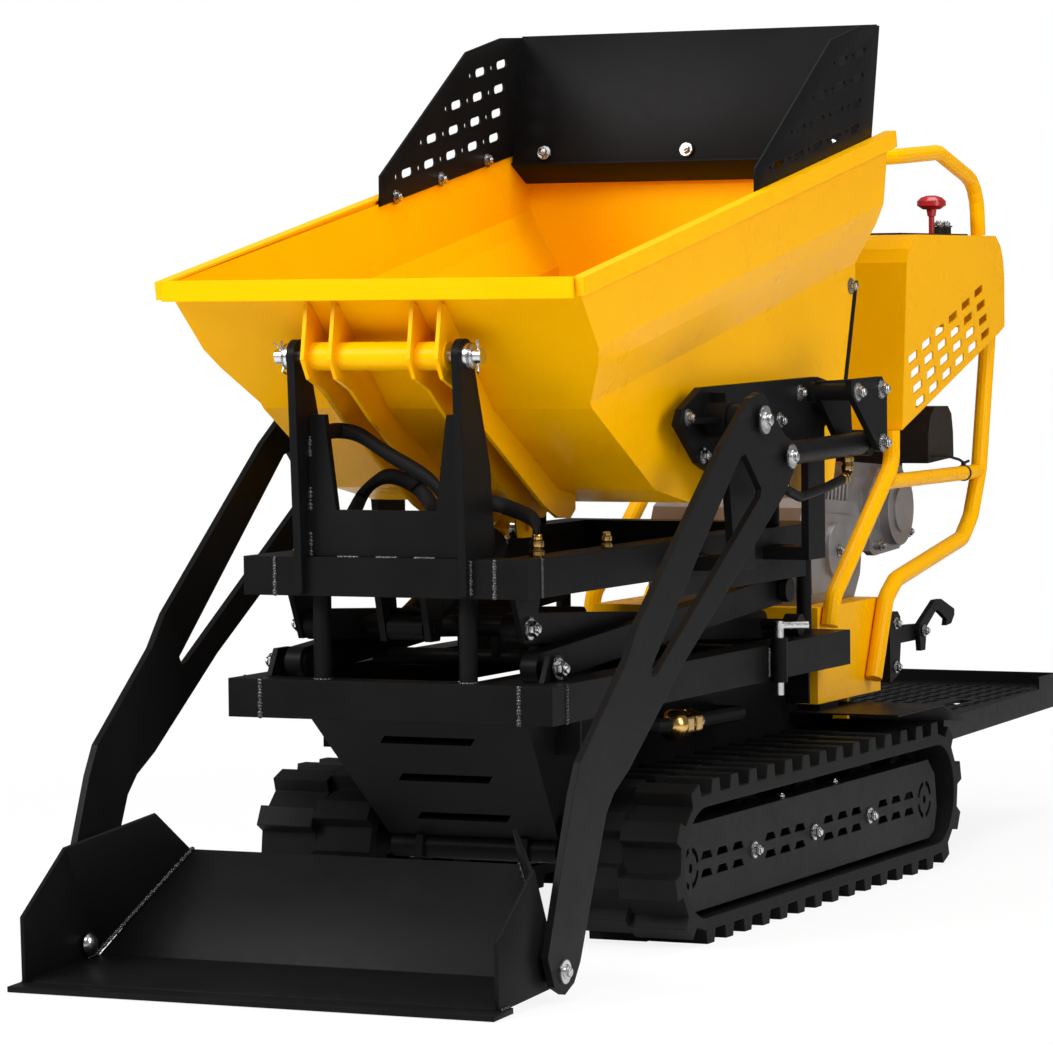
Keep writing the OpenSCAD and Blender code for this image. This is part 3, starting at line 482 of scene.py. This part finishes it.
for side in (1, -1):
    runs += seam(spot(-212, 27, side * 351), spot(-112, 166, side * 253), (-0.6 * side, -0.6, 0.5), 0.9)
    runs += seam(spot(-238, 23.5, side * 350), spot(-213, 25.5, side * 350), (-0.6 * side, 0, 1), 0.7)
    runs += seam(spot(-399, 12, side * 359), spot(-376, 13, side * 359), (0.6 * side, 0, 1), 0.8)
copies("shovel_welds", drop, "loader", runs)


# Track wheels and webs
# Broad disc wheels guide the belt inside each track, and a web stands on its beam; both show past the cover.
# The discs are turned steel with a raised hub, the webs are flame-cut plate welded to the beam.
wheel = begin("wheel")
rod(0.076, 0.0, 0.012, 64, 0.0025)
rod(0.058, 0.012, 0.015, 64, 0.0012)
rod(0.024, 0.015, 0.024, 32, 0.0015)
close(wheel, black_paint, None)
axle_height = 118.5
wheel_spots = [row for y in (650, 890, 1132) for row in sides(y, axle_height, 264)]
copies("track_wheels", wheel, "undercarriage", wheel_spots)
webs = begin("track_webs")
bpy.ops.mesh.select_mode(type="EDGE")
for x in (243, -237):
    for front, rear in ((432, 808), (862, 1238)):
        sheet([(x, front, 148), (x, rear, 148), (x, rear, 196), (x, front, 196)], 0.006)
bpy.ops.mesh.select_mode(type="FACE")
close(webs, black_paint, "undercarriage")


# Tub's guard
# Three black sheets stand on the tub's rim and keep the load off the driver; the wings are slotted.
# Laser cut: rows of holes and round-ended slots follow the rim's slope, two pairs at the top and five below.
guard = begin("guard_sheet")
bpy.ops.mesh.select_mode(type="EDGE")
outline = [(615, 1074), (1100, 1162), (1142, 1356), (1060, 1352), (928, 1324), (615, 1121)]
sheet([(312.7, y, z) for y, z in outline], 0.004)
sheet([(-312.7, y, z) for y, z in outline[::-1]], 0.004)
sheet([(-308.6, 1094, 1150), (308.6, 1094, 1150), (308.6, 1139, 1358), (-308.6, 1139, 1358)], 0.004)
sheet([(-308.6, 1092, 1151), (308.6, 1092, 1151), (308.6, 1150, 1121), (-308.6, 1150, 1121)], 0.004)
bpy.ops.mesh.select_mode(type="FACE")
close(guard, black_paint, "tub")
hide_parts("tub_guard")
hole = begin("hole")
bpy.ops.mesh.primitive_cylinder_add(vertices=24, radius=0.0054, depth=0.7, rotation=(0, math.radians(90), 0))
close(hole, black_paint, None)
slit = begin("slit")
bpy.ops.mesh.primitive_plane_add(size=1.0, rotation=(0, math.radians(90), 0), location=(-0.35, 0, 0))
bpy.ops.transform.resize(value=(1.0, 0.040, 0.0135))
bpy.ops.mesh.bevel(offset=0.0058, segments=5, affect="VERTICES")
bpy.ops.mesh.extrude_region_move(TRANSFORM_OT_translate={"value": (0.7, 0, 0)})
close(slit, black_paint, None)
pitch_along = 80
pitch_down = 15.5
slope = math.atan(pitch_down / pitch_along)
bpy.ops.object.select_all(action="DESELECT")
punches = []
for row in range(4):
    for column in range(row + 2):
        y = 1060 - 10.3 * row - pitch_along * column
        z = 1309.5 - 39.8 * row - pitch_down * column
        for model, ahead in ((slit, 0), (hole, 38)):
            mesh = model.data.copy()
            place = Matrix.Translation(spot(y - ahead, z - ahead * 0.194, 0))
            mesh.transform(place @ Matrix.Rotation(slope, 4, "X"))
            piece = bpy.data.objects.new("punch", mesh)
            bpy.context.scene.collection.objects.link(piece)
            piece.select_set(True)
            punches.append(piece)
bpy.context.view_layer.objects.active = punches[0]
bpy.ops.object.join()
bpy.ops.object.select_all(action="DESELECT")
guard.select_set(True)
bpy.context.view_layer.objects.active = guard
cut = guard.modifiers.new("slots", "BOOLEAN")
cut.operation = "DIFFERENCE"
cut.solver = "EXACT"
cut.object = punches[0]
bpy.ops.object.modifier_apply(modifier=cut.name)
bpy.ops.object.shade_smooth_by_angle(angle=math.radians(32))
bpy.data.objects.remove(punches[0])


# Hydraulic fittings
# Brass elbows and unions screw into the cylinders and the frame, and rubber hoses run up to them.
# The fittings are machined from bar with bright hexagons; the hoses are smooth curves from end to end.
brass = finish("brass", (0.60, 0.36, 0.10), (0.72, 0.46, 0.16), 0.22,
               metal=1.0, grain=1500, bump=0.06, edge=0.0008)
union = begin("union")
rod(0.0105, 0.0, 0.009, 6, 0.0009)
rod(0.0078, 0.009, 0.013, 24)
rod(0.0098, 0.013, 0.023, 6, 0.0009)
rod(0.0070, 0.023, 0.030, 24)
close(union, brass, None)
port_spots = []
for x in (342, -342):
    port_spots += [(spot(648, 678, x), (0, 0, -1), 1.0), (spot(911, 683, x), (0, 0, -1), 1.0),
                   (spot(905, 650.6, x), (0, -1, -0.12), 0.9)]
copies("port_unions", union, "loader_barrels", port_spots)
nipple_spots = [(spot(y, 572, x), (0, 0, 1), size)
                for y, x, size in ((300, 205, 0.8), (22, 74, 1.05), (70, 200, 1.05), (26, 46, 1.05))]
copies("frame_nipples", union, "upper_frame", nipple_spots)


def curve(corners, steps=5):
    points = [spot(y, z, x) for x, y, z in corners]
    path = []
    for i in range(len(points) - 1):
        before = points[max(i - 1, 0)]
        start = points[i]
        end = points[i + 1]
        after = points[min(i + 2, len(points) - 1)]
        for k in range(steps):
            t = k / steps
            square = 2 * before - 5 * start + 4 * end - after
            cube = 3 * start - before - 3 * end + after
            path.append(start + (end - before) * (t / 2) + square * (t * t / 2) + cube * (t ** 3 / 2))
    return path + [points[-1]]


sleeves = begin("hose_sleeves")
left_route = ((-104, 13, 744), (-100, 46, 748), (-72, 62, 742), (-30, 66, 716),
              (38, 66, 678), (70, 50, 640), (74, 24, 612), (74, 22, 594))
right_route = ((104, 13, 738), (98, 54, 740), (66, 82, 720), (58, 88, 690),
               (94, 90, 656), (152, 90, 638), (192, 80, 622), (200, 70, 594))
low_route = ((-86, 13, 612), (-86, 58, 622), (-76, 88, 660), (-44, 95, 682),
             (2, 92, 668), (36, 74, 640), (46, 40, 618), (46, 26, 594))
for corners in (left_route, right_route, low_route):
    wire(curve(corners), 0.0112, 14)
bpy.ops.mesh.select_mode(type="FACE")
close(sleeves, rubber, "upper_frame", 40)
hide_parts("up_hoses")
elbow = begin("elbow")
rod(0.0150, -0.016, 0.004, 6, 0.0012)
rod(0.0128, 0.004, 0.010, 32)
rod(0.0150, 0.010, 0.026, 6, 0.0012)
rod(0.0118, 0.026, 0.034, 32)
bpy.ops.mesh.select_all(action="DESELECT")
bpy.ops.mesh.primitive_uv_sphere_add(segments=24, ring_count=16, radius=0.0165, location=(0, 0, -0.022))
bpy.ops.transform.resize(value=(1.0, 1.0, 0.92), center_override=(0, 0, -0.022))
bpy.ops.mesh.select_all(action="DESELECT")
close(elbow, brass, None)
elbow_spots = [(spot(545, 297.8, x), (0, 1, -0.02), 1.45) for x in (216, -216)]
copies("side_elbows", elbow, "undercarriage", elbow_spots)
gland = begin("gland")
rod(0.0195, 0.0, 0.016, 48, 0.0012)
rod(0.0165, 0.016, 0.022, 48, 0.0012)
close(gland, black_paint, None)
line = Vector((0, -400, -7)).normalized()
gland_spots = [(spot(648.5, 696.3, x), line, 1.0) for x in (342, -342)]
copies("rod_glands", gland, "loader_barrels", gland_spots)


# Tub's rear edge strip
# A strip of black rubber channel covers the tub's rear edge on each side, and keeps it off the console.
# Pushed on from behind and held by one bolt at its upper end.
for name, x in (("edge_strip", 256), ("edge_strip_right", -256)):
    strip = begin(name)
    bpy.ops.mesh.primitive_plane_add(size=1.0, location=spot(1107, 766, x))
    bpy.ops.transform.resize(value=(0.014, 0.012, 1.0))
    bpy.ops.mesh.extrude_region_move(TRANSFORM_OT_translate={"value": (0, 0.060, 0.188)})
    bpy.ops.mesh.select_all(action="SELECT")
    bpy.ops.mesh.select_mode(type="EDGE")
    bpy.ops.mesh.bevel(offset=0.002, segments=2, affect="EDGES")
    close(strip, rubber, "tub")


# Platform's tread
# The deck is pressed checker plate: small raised lozenges in alternate directions.
# One lozenge is modelled and copied over the deck.
lozenge = begin("lozenge")
bpy.ops.mesh.primitive_circle_add(vertices=12, radius=0.011, fill_type="NGON")
bpy.ops.transform.resize(value=(1.0, 0.30, 1.0))
bpy.ops.mesh.extrude_region_move(TRANSFORM_OT_translate={"value": (0, 0, 0.0016)})
bpy.ops.transform.resize(value=(0.82, 0.6, 1.0))
close(lozenge, black_paint, None, 20)
deck = []
for row in range(23):
    for column in range(19):
        x = -252 + 28 * column
        y = 1478 + 28 * row
        slot = 190 < x < 245 and 1704 < y < 1820
        if abs(x) < 286 - 40 * (row / 23) and not slot:
            deck.append((x, y, 45 if (row + column) % 2 else -45))
bpy.ops.object.select_all(action="DESELECT")
plates = []
for x, y, angle in deck:
    mesh = lozenge.data.copy()
    mesh.transform(Matrix.Translation(spot(y, 229, x)) @ Matrix.Rotation(math.radians(angle), 4, "Z"))
    piece = bpy.data.objects.new("deck_tread", mesh)
    bpy.context.scene.collection.objects.link(piece)
    piece.select_set(True)
    plates.append(piece)
bpy.context.view_layer.objects.active = plates[0]
bpy.ops.object.join()
plates[0].name = "deck_tread"
wear(plates[0], "platform")


# Engine and rear fittings
# Cap screws hold the engine's cover and the latch plate; a strap ties the throttle cable to the left bar.
# The pins and nuts are bright zinc, the strap is black nylon.
screw_spots = [(spot(y, z, 146), (1, 0, 0), 0.75)
               for y, z in ((1580, 508), (1716, 524), (1720, 608), (1592, 618))]
screw_spots += [(spot(1330, 512, 166), (1, 0, 0), 0.8)]
screw_spots += [(spot(1446, z, 172), (0, 1, 0), 0.9) for z in (310, 385)]
screw_spots += [(spot(y, 1046, 150), (0, 0, 1), 0.9) for y in (1862, 1900)]
copies("engine_screws", bolt, "undercarriage", screw_spots)
strap = begin("cable_strap")
rod(0.0142, -0.003, 0.003, 32, 0.0008)
bpy.ops.mesh.select_all(action="DESELECT")
bpy.ops.mesh.primitive_cube_add(size=0.007, location=(0.0, 0.0165, 0.0))
bpy.ops.mesh.select_mode(type="EDGE")
bpy.ops.mesh.bevel(offset=0.0008, segments=2, affect="EDGES")
close(strap, plastic, None)
copies("cable_straps", strap, "undercarriage", [(spot(1816, 621, 210), (0, 1, 0), 1.0)])
cable = begin("throttle_cable")
wire([spot(1740, 645, 120), spot(1752, 652, 160), spot(1770, 652, 196), spot(1796, 645, 209),
      spot(1816, 638.5, 211), spot(1836, 641, 212)], 0.0026)
close(cable, plastic, "undercarriage")
front_pin = begin("front_pin")
rod(0.0065, -0.030, 0.030, 24)
rod(0.0100, 0.030, 0.036, 24)
close(front_pin, zinc, None)
pin_spots = [(spot(286, 146, x), (0, 0, 1), 1.0) for x in (-104, 104)]
copies("front_pins", front_pin, "undercarriage", pin_spots)
for extra in (bolt, cap, washer, split_pin, drop, dome, bush, wheel, hole, slit, union, elbow, gland,
              lozenge, strap, front_pin):
    bpy.data.objects.remove(extra)
